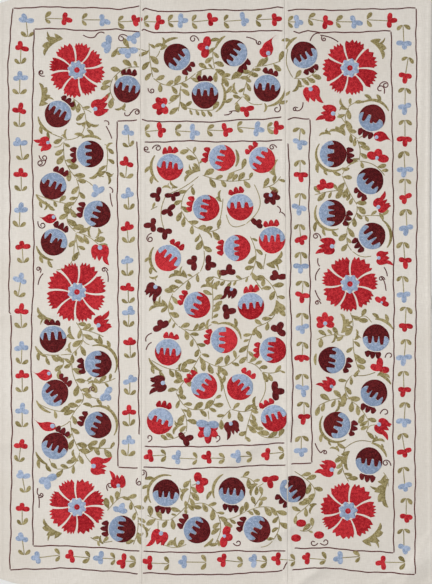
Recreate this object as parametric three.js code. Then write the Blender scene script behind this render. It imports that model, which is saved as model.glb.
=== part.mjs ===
// A suzani: an embroidered cotton cover of three loom-width panels, sewn side by side and laid out flat, face up.
// Units are millimetres. +X runs across the panels, +Y up the design to its top edge, +Z up off the floor.
// The origin is the middle of the cloth, on the floor that it lies on.

import * as THREE from "three";

// Driving dimensions
const CLOTH_WIDTH = 1522; // over the outer edges of the two side panels
const CLOTH_LENGTH = 2056; // over the bottom and top edges
const CLOTH_THICKNESS = 1.4; // plain-woven cotton and the thread carried behind it
const HEM_WIDTH = 12; // every panel's edge is turned under once
const HEM_RISE = 0.8; // the turned layer lifts the face by this much
const HEM_SLOPE = 4; // from the hem down to the single cloth
const SEAM_GAP = 0.3; // between the turned edges of two panels
const CELL = 50; // largest spacing of the surface's grid lines

const HALF_WIDTH = CLOTH_WIDTH / 2;
const HALF_LENGTH = CLOTH_LENGTH / 2;
const COTTON = { color: 0xd8d2c9, roughness: 0.95, metalness: 0 };

// The two seams lean a little: x at the bottom and at the top of the cloth.
const LEFT_SEAM = { bottom: -259, top: -264 };
const RIGHT_SEAM = { bottom: 252, top: 240 };

// The right edge is drawn in by its hem: how far it lies inside the full width, down the cloth from the top.
const RIGHT_EDGE = [
  { y: 1028, inset: 6 },
  { y: 810, inset: 8 },
  { y: 320, inset: 12 },
  { y: -100, inset: 8 },
  { y: -480, inset: 6 },
  { y: -730, inset: 3 },
  { y: -1028, inset: 0 },
];

// The two left corners are pulled inwards: how far, and over what width from the left edge.
const TOP_LEFT_PULL = { depth: 20, width: 90 };
const BOTTOM_LEFT_PULL = { depth: 27, width: 140 };

// Soft folds and storage creases that stand off the floor. Each is a rounded ridge along a straight line,
// highest at the line's middle, so a crease that starts at an edge has a line that starts beyond it.
const FOLDS = [
  { from: [-1080, -84], to: [-520, -84], width: 100, rise: 5 }, // middle of the left edge
  { from: [-980, -532], to: [-560, -532], width: 90, rise: 3.5 }, // lower left edge
  { from: [-960, 518], to: [-580, 518], width: 90, rise: 3 }, // upper left edge
  { from: [742, 1100], to: [730, 400], width: 80, rise: 4 }, // right edge, upper part
  { from: [960, -40], to: [620, -40], width: 90, rise: 3.5 }, // middle of the right edge
  { from: [610, -1060], to: [800, -860], width: 120, rise: 6 }, // bottom right corner
  { from: [-70, -675], to: [385, -355], width: 110, rise: 4.5 }, // slanting, lower middle
  { from: [40, -932], to: [410, -750], width: 105, rise: 4 }, // slanting, below it
  { from: [215, -1060], to: [425, -925], width: 100, rise: 5 }, // bottom edge by the right seam
];

const PANELS = [
  { name: "panel_left", left: () => -HALF_WIDTH, right: (y) => seamX(LEFT_SEAM, y) - SEAM_GAP / 2 },
  {
    name: "panel_middle",
    left: (y) => seamX(LEFT_SEAM, y) + SEAM_GAP / 2,
    right: (y) => seamX(RIGHT_SEAM, y) - SEAM_GAP / 2,
  },
  { name: "panel_right", left: (y) => seamX(RIGHT_SEAM, y) + SEAM_GAP / 2, right: rightEdgeX },
];

// Where a seam runs at height y of the cloth.
function seamX(seam, y) {
  return THREE.MathUtils.mapLinear(y, -HALF_LENGTH, HALF_LENGTH, seam.bottom, seam.top);
}

// The right edge at y, straight between the rows of its table.
function rightEdgeX(y) {
  const below = RIGHT_EDGE.findIndex((row, i) => i > 0 && y >= row.y);
  const low = RIGHT_EDGE[below < 0 ? RIGHT_EDGE.length - 1 : below];
  const high = RIGHT_EDGE[RIGHT_EDGE.indexOf(low) - 1];
  return HALF_WIDTH - THREE.MathUtils.mapLinear(y, low.y, high.y, low.inset, high.inset);
}

// How far a pulled corner draws the top or bottom edge in, at x: all of its depth at the left edge, easing to none.
function cornerPull(pull, x) {
  const share = THREE.MathUtils.clamp(1 - (x + HALF_WIDTH) / pull.width, 0, 1);
  return pull.depth * share * share;
}

// Height of one fold at a point: a raised cosine across its line, swelling along it as a half sine.
function foldHeight(fold, x, y) {
  const start = new THREE.Vector2(...fold.from);
  const line = new THREE.Vector2(...fold.to).sub(start);
  const point = new THREE.Vector2(x, y).sub(start);
  const along = THREE.MathUtils.clamp(point.dot(line) / line.lengthSq(), 0, 1);
  const across = point.addScaledVector(line, -along).length() / (fold.width / 2);
  if (across >= 1) return 0;
  return fold.rise * Math.sin(Math.PI * along) * (0.5 + 0.5 * Math.cos(Math.PI * across));
}

// Height of the cloth's underside above the floor: the highest of the folds there.
function undersideZ(x, y) {
  return Math.max(0, ...FOLDS.map((fold) => foldHeight(fold, x, y)));
}

// Grid lines over a span: the hem and its slope at both ends, and even cells of at most CELL between.
function gridLines(span, cells) {
  const slopeEnd = HEM_WIDTH + HEM_SLOPE;
  const inner = Array.from({ length: cells + 1 }, (_, k) => slopeEnd + ((span - 2 * slopeEnd) * k) / cells);
  return [0, HEM_WIDTH, ...inner, span - HEM_WIDTH, span];
}

// A closed sheet from two equal grids of points, the face above and the back below, joined by walls round the rim.
function sheetGeometry(face, back) {
  const rows = face.length;
  const columns = face[0].length;
  const points = [...face.flat(), ...back.flat()];
  const faceAt = (row, column) => row * columns + column;
  const backAt = (row, column) => rows * columns + faceAt(row, column);
  const index = [];
  const quad = (a, b, c, d) => index.push(a, b, c, a, c, d);
  for (let row = 0; row + 1 < rows; row++) {
    for (let column = 0; column + 1 < columns; column++) {
      const corners = [
        [row, column],
        [row, column + 1],
        [row + 1, column + 1],
        [row + 1, column],
      ];
      quad(...corners.map((corner) => faceAt(...corner)));
      quad(...corners.map((corner) => backAt(...corner)).reverse());
    }
  }
  const wall = (from, to) => quad(backAt(...from), backAt(...to), faceAt(...to), faceAt(...from));
  for (let column = 0; column + 1 < columns; column++) {
    wall([0, column], [0, column + 1]);
    wall([rows - 1, column + 1], [rows - 1, column]);
  }
  for (let row = 0; row + 1 < rows; row++) {
    wall([row, columns - 1], [row + 1, columns - 1]);
    wall([row + 1, 0], [row, 0]);
  }
  const geometry = new THREE.BufferGeometry().setFromPoints(points);
  geometry.setIndex(index);
  geometry.computeVertexNormals();
  return geometry;
}

// One panel: a grid over its outline, with the hem raised round all four edges and the folds under it.
function makePanel({ name, left, right }) {
  const columnCells = Math.ceil((right(0) - left(0)) / CELL);
  const rowCells = Math.ceil(CLOTH_LENGTH / CELL);
  const levelRows = gridLines(CLOTH_LENGTH, rowCells).map((offset) => offset - HALF_LENGTH);
  const lastColumn = columnCells + 4;
  const lastRow = rowCells + 4;
  const onHem = (k, last) => k <= 1 || k >= last - 1;
  const back = levelRows.map((levelY, row) =>
    gridLines(right(levelY) - left(levelY), columnCells).map((offset) => {
      const x = left(levelY) + offset;
      const bottom = -HALF_LENGTH + cornerPull(BOTTOM_LEFT_PULL, x);
      const top = HALF_LENGTH - cornerPull(TOP_LEFT_PULL, x);
      const y = bottom + gridLines(top - bottom, rowCells)[row];
      return new THREE.Vector3(x, y, undersideZ(x, y));
    }),
  );
  const face = back.map((line, row) =>
    line.map((point, column) => {
      const hem = onHem(row, lastRow) || onHem(column, lastColumn) ? HEM_RISE : 0;
      return point.clone().setZ(point.z + CLOTH_THICKNESS + hem);
    }),
  );
  const panel = new THREE.Mesh(sheetGeometry(face, back), new THREE.MeshStandardMaterial(COTTON));
  panel.name = name;
  return panel;
}

const suzani = new THREE.Group();
suzani.name = "suzani";
suzani.add(...PANELS.map(makePanel));

export default suzani;
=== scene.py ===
"""A suzani: an embroidered cotton cover of three loom-width panels, laid out flat with its face up."""

import bpy
import numpy as np
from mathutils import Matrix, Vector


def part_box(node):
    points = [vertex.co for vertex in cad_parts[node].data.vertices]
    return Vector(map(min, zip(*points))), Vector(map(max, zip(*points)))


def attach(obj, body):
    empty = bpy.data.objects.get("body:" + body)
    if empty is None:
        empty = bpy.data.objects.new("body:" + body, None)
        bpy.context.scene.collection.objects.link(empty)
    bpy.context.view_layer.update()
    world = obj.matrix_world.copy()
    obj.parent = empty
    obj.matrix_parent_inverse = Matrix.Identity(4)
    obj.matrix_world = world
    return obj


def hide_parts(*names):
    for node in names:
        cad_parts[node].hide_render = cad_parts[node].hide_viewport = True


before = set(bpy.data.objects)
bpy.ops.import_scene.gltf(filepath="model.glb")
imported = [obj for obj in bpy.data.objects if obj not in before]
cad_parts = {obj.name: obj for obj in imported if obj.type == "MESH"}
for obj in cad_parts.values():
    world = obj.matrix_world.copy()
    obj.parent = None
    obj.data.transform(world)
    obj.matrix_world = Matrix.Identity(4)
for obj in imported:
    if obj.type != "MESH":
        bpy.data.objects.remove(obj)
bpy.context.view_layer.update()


# The ground: three panels of cream cotton in plain weave, each a loom's width, edges turned under once.
# They lie on the floor face up, nearly flat, with soft folds and storage creases standing off it.
MM = 0.001
HALF_WIDTH = -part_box("panel_left")[0].x
HALF_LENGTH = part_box("panel_middle")[1].y
THICKNESS = 1.4 * MM
HEM_WIDTH = 12 * MM
HEM_SLOPE = 4 * MM
HEM_RISE = 0.8 * MM
EDGE_ROUND = 1.0 * MM  # the turned edge is rounded over this much
EDGE_SHARE = 0.3  # of the thickness is left at the very edge
SEAM_GAP = 0.3 * MM
RIPPLE_RISE = 0.35 * MM
CLOTH_CELL = 8 * MM
HEM_LINES = (0, 0.2, 0.5, 1, 4, 8, 12, 14)  # grid lines over the hem, in millimetres from the edge
WEAVE_SCALE = 300
SLUB_ACROSS = 380  # slubs are long and thin: so many fit in a metre across a thread
SLUB_ALONG = 40  # and so many along it
SLUB_RAISED = 0.6  # how much they add to the weave's height
STAIN_SCALE = 3.5
THIN_CREAM = (0.677, 0.633, 0.573, 1)
FULL_CREAM = (0.776, 0.732, 0.675, 1)
YELLOWED = (0.635, 0.577, 0.505, 1)

# Where each seam lies, in millimetres from the middle, at the bottom and the top of the cloth
LEFT_SEAM = (-259, -264)
RIGHT_SEAM = (252, 240)

# How far the right edge is drawn in, in millimetres, by height up the cloth
RIGHT_EDGE_HEIGHTS = (-1028, -730, -480, -100, 320, 810, 1028)
RIGHT_EDGE_INSETS = (0, 3, 6, 8, 12, 8, 6)

# The pulled left corners: how deep and how wide, in millimetres
TOP_LEFT_PULL = (20, 90)
BOTTOM_LEFT_PULL = (27, 140)

# Folds: a line from one point to another, then the fold's width and rise, in millimetres
FOLDS = (
    ((-1080, -84), (-520, -84), 100, 5),  # middle of the left edge
    ((-980, -532), (-560, -532), 90, 3.5),  # lower left edge
    ((-960, 518), (-580, 518), 90, 3),  # upper left edge
    ((742, 1100), (730, 400), 80, 4),  # right edge, upper part
    ((960, -40), (620, -40), 90, 3.5),  # middle of the right edge
    ((610, -1060), (800, -860), 120, 6),  # bottom right corner
    ((-70, -675), (385, -355), 110, 4.5),  # slanting, lower middle
    ((40, -932), (410, -750), 105, 4),  # slanting, below it
    ((215, -1060), (425, -925), 100, 5),  # bottom edge by the right seam
)

# Sharper creases on top of the folds, in the same columns
CREASES = (
    ((-900, -79), (-180, -77), 26, 2.6),
    ((-900, -52), (-400, -50), 24, 1.4),
    ((-900, 513), (-450, 516), 24, 1.5),
    ((-900, -536), (-430, -531), 24, 1.8),
    ((640, -36), (900, -38), 26, 2.2),
    ((690, 430), (900, 424), 24, 1.5),
    ((690, -480), (900, -486), 24, 1.5),
    ((720, 1100), (712, 300), 24, 2.1),
    ((745, 900), (738, -300), 24, 1.5),
    ((-722, 1100), (-716, -1100), 26, 1.3),
    ((-690, 500), (-694, -400), 24, 0.9),
    ((-45, -668), (372, -372), 30, 2.3),
    ((-30, -640), (250, -440), 26, 1.3),
    ((60, -925), (400, -757), 28, 2.0),
    ((230, -1060), (420, -930), 30, 2.3),
    ((470, -1060), (760, -930), 34, 2.3),
    ((640, -1050), (770, -800), 28, 2.3),
)


def ridges(x, y, table):
    """The highest ridge at each point: a raised cosine across a line, swelling along it as half a sine."""
    height = np.zeros_like(x)
    for start, end, width, rise in table:
        start, end = np.array(start) * MM, np.array(end) * MM
        line = end - start
        along = np.clip(((x - start[0]) * line[0] + (y - start[1]) * line[1]) / (line @ line), 0, 1)
        off_line = np.hypot(x - start[0] - along * line[0], y - start[1] - along * line[1])
        across = np.clip(off_line / (width * MM / 2), 0, 1)
        ridge = rise * MM * np.sin(np.pi * along) * (0.5 + 0.5 * np.cos(np.pi * across))
        height = np.maximum(height, ridge)
    return height


def ripples(x, y):
    """Slack in the cloth: the product of two slow waves that cross at a slant, lifted to stay over 0.

    Each wave is a sine of radians for a metre across and up, and winds by a slower sine.
    """
    first = np.sin(34 * x + 9 * y + 1.5 * np.sin(7 * y))
    second = np.sin(29 * y - 8 * x + 1.2 * np.sin(9 * x))
    return RIPPLE_RISE * (1 + first * second)


def underside(x, y):
    """Height of the cloth's back over the floor: folds, with the creases and the slack on top of them."""
    return ridges(x, y, FOLDS) + ridges(x, y, CREASES) + ripples(x, y)


def seam_at(seam, y):
    """The seam's x at height y: a straight line from its bottom to its top."""
    return np.interp(y, (-HALF_LENGTH, HALF_LENGTH), np.array(seam) * MM)


def left_edge_at(y):
    """The cloth's left edge, which is straight."""
    return np.full_like(y, -HALF_WIDTH)


def right_edge_at(y):
    """The cloth's right edge: straight between the rows of its table."""
    return HALF_WIDTH - np.interp(y, np.array(RIGHT_EDGE_HEIGHTS) * MM, np.array(RIGHT_EDGE_INSETS) * MM)


def corner_pull(pull, x):
    """How far a pulled corner draws the end in: its depth at the left edge, easing off as a square."""
    depth, width = np.array(pull) * MM
    return depth * np.clip(1 - (x + HALF_WIDTH) / width, 0, 1) ** 2


# Each panel's left and right edge, as functions of the height up the cloth
PANEL_EDGES = {
    "left": (left_edge_at, lambda y: seam_at(LEFT_SEAM, y) - SEAM_GAP / 2),
    "middle": (
        lambda y: seam_at(LEFT_SEAM, y) + SEAM_GAP / 2,
        lambda y: seam_at(RIGHT_SEAM, y) - SEAM_GAP / 2,
    ),
    "right": (lambda y: seam_at(RIGHT_SEAM, y) + SEAM_GAP / 2, right_edge_at),
}


def panel_width(panel):
    """A panel's width, half way up the cloth."""
    left, right = PANEL_EDGES[panel]
    half_way_up = np.zeros(1)
    return float((right(half_way_up) - left(half_way_up))[0])


def face(panel, x, y):
    """Height of a panel's face: its back, the cloth and, by an edge, the hem, rounded off at the edge."""
    left, right = PANEL_EDGES[panel]
    from_sides = np.minimum(x - left(y), right(y) - x)
    from_bottom = y + HALF_LENGTH - corner_pull(BOTTOM_LEFT_PULL, x)
    from_top = HALF_LENGTH - corner_pull(TOP_LEFT_PULL, x) - y
    inside = np.clip(np.minimum(from_sides, np.minimum(from_bottom, from_top)), 0, None)
    on_hem = np.clip((HEM_WIDTH + HEM_SLOPE - inside) / HEM_SLOPE, 0, 1)
    hem = HEM_RISE * on_hem**2 * (3 - 2 * on_hem)
    roundness = np.sqrt(1 - (1 - np.clip(inside / EDGE_ROUND, 0, 1)) ** 2)
    return underside(x, y) + (THICKNESS + hem) * (EDGE_SHARE + (1 - EDGE_SHARE) * roundness)


def grid_lines(span, cell):
    """Shares of a span from 0 to 1: close lines over the hem at both ends, and even cells between."""
    hem = np.array(HEM_LINES) * MM
    first = HEM_WIDTH + HEM_SLOPE
    middle = np.linspace(first, span - first, int(np.ceil((span - 2 * first) / cell)) + 1)
    return np.concatenate((hem, middle, span - hem[::-1])) / span


def grid_quads(rows, columns, wrapped=False):
    """Corner numbers of a grid's quads, row by row; a wrapped grid joins its last row to its first."""
    numbers = np.arange(rows * columns).reshape(rows, columns)
    numbers = np.vstack((numbers, numbers[:1])) if wrapped else numbers
    corners = numbers[:-1, :-1], numbers[1:, :-1], numbers[1:, 1:], numbers[:-1, 1:]
    return np.stack(corners, axis=-1).reshape(-1, 4)


def mesh_object(name, points, quads, material):
    """A smooth mesh from whole arrays of points and quads, at the origin."""
    mesh = bpy.data.meshes.new(name)
    mesh.vertices.add(len(points))
    mesh.vertices.foreach_set("co", points.astype(np.float32).ravel())
    mesh.loops.add(quads.size)
    mesh.loops.foreach_set("vertex_index", quads.astype(np.int32).ravel())
    mesh.polygons.add(len(quads))
    mesh.polygons.foreach_set("loop_start", np.arange(0, quads.size, 4, dtype=np.int32))
    mesh.polygons.foreach_set("use_smooth", np.ones(len(quads), dtype=bool))
    mesh.update(calc_edges=True)
    mesh.materials.append(material)
    made = bpy.data.objects.new(name, mesh)
    bpy.context.collection.objects.link(made)
    return made


def cotton_panel(panel, material):
    """A closed sheet: face and back on one grid across and along the panel, with a wall round the rim."""
    left, right = PANEL_EDGES[panel]
    across = grid_lines(panel_width(panel), CLOTH_CELL)
    along = grid_lines(2 * HALF_LENGTH, CLOTH_CELL)
    level = (2 * along - 1)[:, None] * HALF_LENGTH
    x = left(level) + across[None, :] * (right(level) - left(level))
    bottom = -HALF_LENGTH + corner_pull(BOTTOM_LEFT_PULL, x)
    top = HALF_LENGTH - corner_pull(TOP_LEFT_PULL, x)
    y = bottom + along[:, None] * (top - bottom)
    upper = np.stack((x, y, face(panel, x, y)), axis=-1).reshape(-1, 3)
    lower = np.stack((x, y, underside(x, y)), axis=-1).reshape(-1, 3)
    rows, columns = x.shape
    numbers = np.arange(rows * columns).reshape(rows, columns)
    rim = np.concatenate((numbers[0, :-1], numbers[:-1, -1], numbers[-1, :0:-1], numbers[:0:-1, 0]))
    rim_next = np.roll(rim, -1)
    wall = np.stack((rim + rows * columns, rim_next + rows * columns, rim_next, rim), axis=-1)
    facing = grid_quads(rows, columns)
    quads = np.vstack((facing[:, ::-1], facing + rows * columns, wall))
    return mesh_object(f"cotton_{panel}", np.vstack((upper, lower)), quads, material)


def node(tree, kind, inputs=None, **settings):
    """A shader node with its settings, and with its input sockets set or linked by name or number."""
    made = tree.nodes.new(kind)
    for setting, value in settings.items():
        setattr(made, setting, value)
    for socket, value in (inputs or {}).items():
        if isinstance(value, bpy.types.NodeSocket):
            tree.links.new(value, made.inputs[socket])
        else:
            made.inputs[socket].default_value = value
    return made


def node_group(name, inputs, outputs):
    """An empty shader node group with named sockets; gives the group, its input and its output node."""
    group = bpy.data.node_groups.new(name, "ShaderNodeTree")
    for socket, kind in inputs.items():
        group.interface.new_socket(socket, in_out="INPUT", socket_type=kind)
    for socket, kind in outputs.items():
        group.interface.new_socket(socket, in_out="OUTPUT", socket_type=kind)
    return group, group.nodes.new("NodeGroupInput"), group.nodes.new("NodeGroupOutput")


def maths(tree, operation, first, second):
    """A sum or another operation on two values, as a socket."""
    return node(tree, "ShaderNodeMath", {0: first, 1: second}, operation=operation).outputs[0]


def share_of(tree, value, low, high, top=1.0):
    """A value between low and high, brought to a share between 0 and top, as a socket."""
    inputs = {"Value": value, "From Min": low, "From Max": high, "To Max": top}
    return node(tree, "ShaderNodeMapRange", inputs).outputs["Result"]


def blend(tree, share, first, second):
    """Two colours, mixed by a share from 0 to 1, as a socket."""
    inputs = {"Factor": share, "A": first, "B": second}
    return node(tree, "ShaderNodeMix", inputs, data_type="RGBA").outputs["Result"]


def new_material(name):
    """A material with nothing but its Principled shader; gives it, its node tree and the shader."""
    material = bpy.data.materials.new(name)
    material.use_nodes = True
    return material, material.node_tree, material.node_tree.nodes["Principled BSDF"]


def plain_weave_group():
    """Over and under threads: bands across and bands along, with uneven slubs and slow stains."""
    group, given, out = node_group(
        "plain weave",
        {"Vector": "NodeSocketVector", "Wave scale": "NodeSocketFloat"},
        {"Height": "NodeSocketFloat", "Slub": "NodeSocketFloat", "Stain": "NodeSocketFloat"},
    )
    place, pitch = given.outputs["Vector"], given.outputs["Wave scale"]
    bands = []
    slubs = []
    stretches = {"X": (SLUB_ACROSS, SLUB_ALONG, 1), "Y": (SLUB_ALONG, SLUB_ACROSS, 1)}
    for direction, stretch in stretches.items():
        waves = {"Vector": place, "Scale": pitch, "Distortion": 1.2, "Detail Scale": 0.3}
        wave = node(group, "ShaderNodeTexWave", waves, bands_direction=direction)
        bands.append(wave.outputs["Fac"])
        stretched = node(group, "ShaderNodeMapping", {"Vector": place, "Scale": stretch})
        uneven = node(group, "ShaderNodeTexNoise", {"Vector": stretched.outputs["Vector"], "Scale": 1.0})
        slubs.append(uneven.outputs["Fac"])
    weave = maths(group, "MAXIMUM", *bands)
    slub = maths(group, "ADD", *slubs)
    height = maths(group, "ADD", maths(group, "MULTIPLY", slub, SLUB_RAISED), weave)
    stain = node(group, "ShaderNodeTexNoise", {"Vector": place, "Scale": STAIN_SCALE, "Detail": 5.0})
    group.links.new(height, out.inputs["Height"])
    group.links.new(slub, out.inputs["Slub"])
    group.links.new(stain.outputs["Fac"], out.inputs["Stain"])
    return group


PLAIN_WEAVE = plain_weave_group()


def dress(tree, shader, colour, bump, roughness, gloss):
    """Gives a shader its colour, its bump as a height, a strength and a depth, and its sheen."""
    height, strength, depth = bump
    raised = node(tree, "ShaderNodeBump", {"Height": height, "Strength": strength, "Distance": depth})
    tree.links.new(colour, shader.inputs["Base Color"])
    tree.links.new(raised.outputs["Normal"], shader.inputs["Normal"])
    shader.inputs["Roughness"].default_value = roughness
    shader.inputs["Specular IOR Level"].default_value = gloss


def cotton_material():
    """Unbleached cotton: cream, a little darker where threads are thin and where it has yellowed."""
    material, tree, shader = new_material("cream cotton")
    place = node(tree, "ShaderNodeTexCoord").outputs["Object"]
    pattern = {"Vector": place, "Wave scale": WEAVE_SCALE}
    weave = node(tree, "ShaderNodeGroup", pattern, node_tree=PLAIN_WEAVE)
    cream = blend(tree, share_of(tree, weave.outputs["Slub"], 0.7, 1.3), THIN_CREAM, FULL_CREAM)
    aged = blend(tree, share_of(tree, weave.outputs["Stain"], 0.4, 0.75, 0.6), cream, YELLOWED)
    dress(tree, shader, aged, (weave.outputs["Height"], 0.3, 0.5 * MM), roughness=0.92, gloss=0.2)
    return material


cream_cotton = cotton_material()
panels = {}
stitching_on = {}
for panel in PANEL_EDGES:
    panels[panel] = cotton_panel(panel, cream_cotton)
    stitching_on[panel] = []
    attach(panels[panel], "root")
    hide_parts(f"panel_{panel}")


# Outline rows: single rows of dark brown chain stitch that frame the borders and the middle field.
# They are worked by hand on each panel before the panels are joined, so they miss each other at the seams.
SQUARE = 3.5 * MM  # the design is charted on squares of this size, right and down from its top left corner
CHART_SIZE = np.array((432, 584))
ROW_PITCH = 2.8 * MM  # from one row of chain stitch to the next
CHAIN_LINK = 4.2 * MM
RIDGE = 1.0 * MM  # height of a row's ridge over the cloth
GROOVE = 0.6 * MM  # height between two rows
RIM = -0.4 * MM  # the last row's outer side goes down into the cloth
ONE_ROW = (0, 0.16, 0.5, 0.84, 1)  # shares across a single row: rim, side, ridge, side and rim
FEW_ROWS = 6  # wider fields than this have their ridges and grooves as bump
SEAM_CLEAR = 2.0 * MM  # stitching stops this short of a panel's edge
LEAST_SHARE = 0.2  # a field with less than this share on a panel isn't worked on it
DYE_SCALES = (150.0, 330.0)  # of the large and the small patches of uneven dye
OWN_TONE = 0.06  # how much of a thread's shade is its field's own
ROW_GROOVE_SHADE = 0.3  # and how much is painted shade that darkens the grooves between rows
DARKEST = 0.93  # tone, dye and painted groove shade, added up, where a thread has its dark colour
LIGHTEST = 1.37  # and where it has its light one

# In squares, as all that is charted
OUTLINE_WIDTH = 1.4
HAND_STEP = 1.6  # between the points of a line that is drawn by hand
HAND_WAVES = ((0.2, 17), (0.4, 52))  # the height and the length of its waves
HAND_EASE = 6  # the waves die out over this much at both ends

chance = np.random.default_rng(11)

# Each line is charted on one panel and ends at a corner, at a jog or by a seam: the points that it passes
OUTLINES = (
    # round the outer guard border
    ((10, 570), (12, 440), (11, 314)),
    ((11, 314), (9, 312), (10, 200), (8, 60), (13, 8)),
    ((13, 8), (60, 7), (120, 9), (140, 6)),
    ((142, 11), (145, 8), (158, 12), (216, 10), (262, 10), (278, 7), (284, 8)),
    ((287, 11), (296, 9), (306, 10), (340, 10), (416, 8)),
    ((416, 8), (417, 200), (415, 400), (415, 574)),
    ((10, 570), (60, 568), (110, 571), (138, 574)),
    ((142, 573), (206, 575), (270, 572), (283, 570)),
    ((283, 570), (288, 561)),
    ((292, 570), (315, 567), (370, 572), (415, 574)),
    # round the main border
    ((33, 546), (33, 430), (31, 350), (34, 260), (32, 140), (34, 29)),
    ((34, 29), (65, 29), (95, 31), (117, 29), (140, 32)),
    ((141, 31), (144, 29), (155, 33), (216, 32), (260, 31), (283, 31)),
    ((293, 31), (299, 33), (308, 30), (320, 33), (391, 31)),
    ((391, 31), (393, 180), (394, 330), (393, 400), (394, 553)),
    ((33, 546), (75, 546), (140, 551)),
    ((143, 551), (190, 553), (230, 551), (286, 551)),
    ((294, 548), (325, 548), (394, 553)),
    # round the inner guard border
    ((118, 467), (119, 400), (118, 270), (117, 121)),
    ((117, 121), (138, 120)),
    ((141, 119), (147, 121), (205, 122), (262, 119), (282, 117)),
    ((287, 120), (293, 118), (310, 119)),
    ((310, 119), (309, 180), (310, 300), (312, 463)),
    ((312, 463), (291, 464)),
    ((118, 467), (138, 468)),
    ((143, 467), (185, 469), (250, 466), (286, 465)),
    # round the middle field
    ((137, 141), (139, 260), (138, 320), (139, 435)),
    ((144, 142), (200, 141), (230, 142), (283, 140)),
    ((288, 143), (291, 230), (290, 290), (293, 390), (291, 443)),
    ((144, 446), (170, 447), (225, 446), (285, 443)),
)


def on_cloth(points):
    """Chart squares to metres: x right and y up from the middle of the chart."""
    return (points - CHART_SIZE / 2) * (SQUARE, -SQUARE)


def way_along(line):
    """How far along the line each of its points lies: the lengths of its steps, added up."""
    return np.concatenate(((0,), np.cumsum(np.linalg.norm(np.diff(line, axis=0), axis=1))))


def square_to(line):
    """At each point of a line, the unit direction across it: its own direction turned by a quarter."""
    along = np.gradient(line, axis=0)
    along = along / np.linalg.norm(along, axis=1, keepdims=True)
    return np.stack((-along[:, 1], along[:, 0]), axis=-1)


def band(line, half_width):
    """The two edges of a band: its line moved to either side by half_width squares."""
    offset = square_to(line) * np.broadcast_to(half_width, len(line))[:, None]
    return line - offset, line + offset


def hand_drawn(points):
    """A line through charted points, moved sideways by two waves that die out at its ends."""
    points = np.asarray(points, float)
    stops = way_along(points)
    along = np.linspace(0, stops[-1], max(6, int(stops[-1] / HAND_STEP)))
    line = np.stack([np.interp(along, stops, points[:, axis]) for axis in range(2)], axis=-1)
    sway = np.zeros_like(along)
    for (height, length), start in zip(HAND_WAVES, chance.uniform(0, 2 * np.pi, len(HAND_WAVES))):
        sway += height * np.sin(2 * np.pi * along / length + start)
    ease = np.clip(np.minimum(along, stops[-1] - along) / HAND_EASE, 0, 1)
    return line + square_to(line) * (sway * ease)[:, None]


def stitched(edge, far_edge, closed=False, filled=False, raised=0.0, bulge=(0, 0)):
    """Rows of chain stitch that fill the space between two lines of as many points each.

    A point is the mix of the two lines at its share across, moved by bulge half way and by less to either
    side, as a parabola. Ridges and grooves take turns across a few rows, and many rows have them as bump.
    The rim goes down into the cloth: at both lines and, unless the lines are closed, at their two ends.
    Where the far line is the middle of a filled form, it stays up.
    """
    width = np.linalg.norm(far_edge - edge, axis=1).mean() * SQUARE
    rows = max(1, round(width / ROW_PITCH))
    if rows == 1:
        across = np.array(ONE_ROW)
        lift = np.array((RIM, GROOVE, RIDGE, GROOVE, RIM))
    elif rows <= FEW_ROWS:
        across = np.linspace(0, 1, 2 * rows + 1)
        lift = np.where(np.arange(2 * rows + 1) % 2, RIDGE, GROOVE)
    else:
        across = np.concatenate(((0,), np.linspace(0.5 / rows, 1 - 0.5 / rows, rows // 2 + 1), (1,)))
        lift = np.full(len(across), RIDGE)
    lift = np.tile(lift, (len(edge), 1))
    lift[:, 0] = RIM
    lift[:, -1] = RIDGE if filled else RIM
    if not closed:
        lift[(0, -1), :] = RIM
    share = across[None, :, None]
    moved = np.broadcast_to(bulge, edge.shape)[:, None]
    points = edge[:, None] * (1 - share) + far_edge[:, None] * share + moved * 4 * share * (1 - share)
    links = way_along(points.mean(axis=1)) * SQUARE / CHAIN_LINK
    pattern = np.stack(np.broadcast_arrays(links[:, None], across[None, :] * rows), axis=-1)
    lift = lift + raised
    return {"points": points, "lift": lift, "pattern": pattern, "closed": closed, "tone": chance.normal()}


def on_panel(field, panel):
    """The part of a field that lies on one panel: its points, quads, pattern and tone, or nothing.

    Points past the panel's edges are drawn back to them, and faces wholly past an edge are left out.
    """
    x, y = np.moveaxis(on_cloth(field["points"]), -1, 0)
    left, right = PANEL_EDGES[panel]
    low, high = left(y) + SEAM_CLEAR, right(y) - SEAM_CLEAR
    inside = (x > low) & (x < high)
    if inside.mean() < LEAST_SHARE:
        return None
    x = np.clip(x, low, high)
    points = np.stack((x, y, face(panel, x, y) + field["lift"]), axis=-1).reshape(-1, 3)
    quads = grid_quads(*x.shape, wrapped=field["closed"])
    quads = quads[inside.ravel()[quads].any(axis=1)]
    corners = points[quads]
    first, second = corners[:, 2] - corners[:, 0], corners[:, 3] - corners[:, 1]
    facing_up = (first[:, 0] * second[:, 1] - first[:, 1] * second[:, 0]).sum() > 0
    quads = quads if facing_up else quads[:, ::-1]
    return points, quads, field["pattern"].reshape(-1, 2), np.full(len(points), field["tone"])


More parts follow.
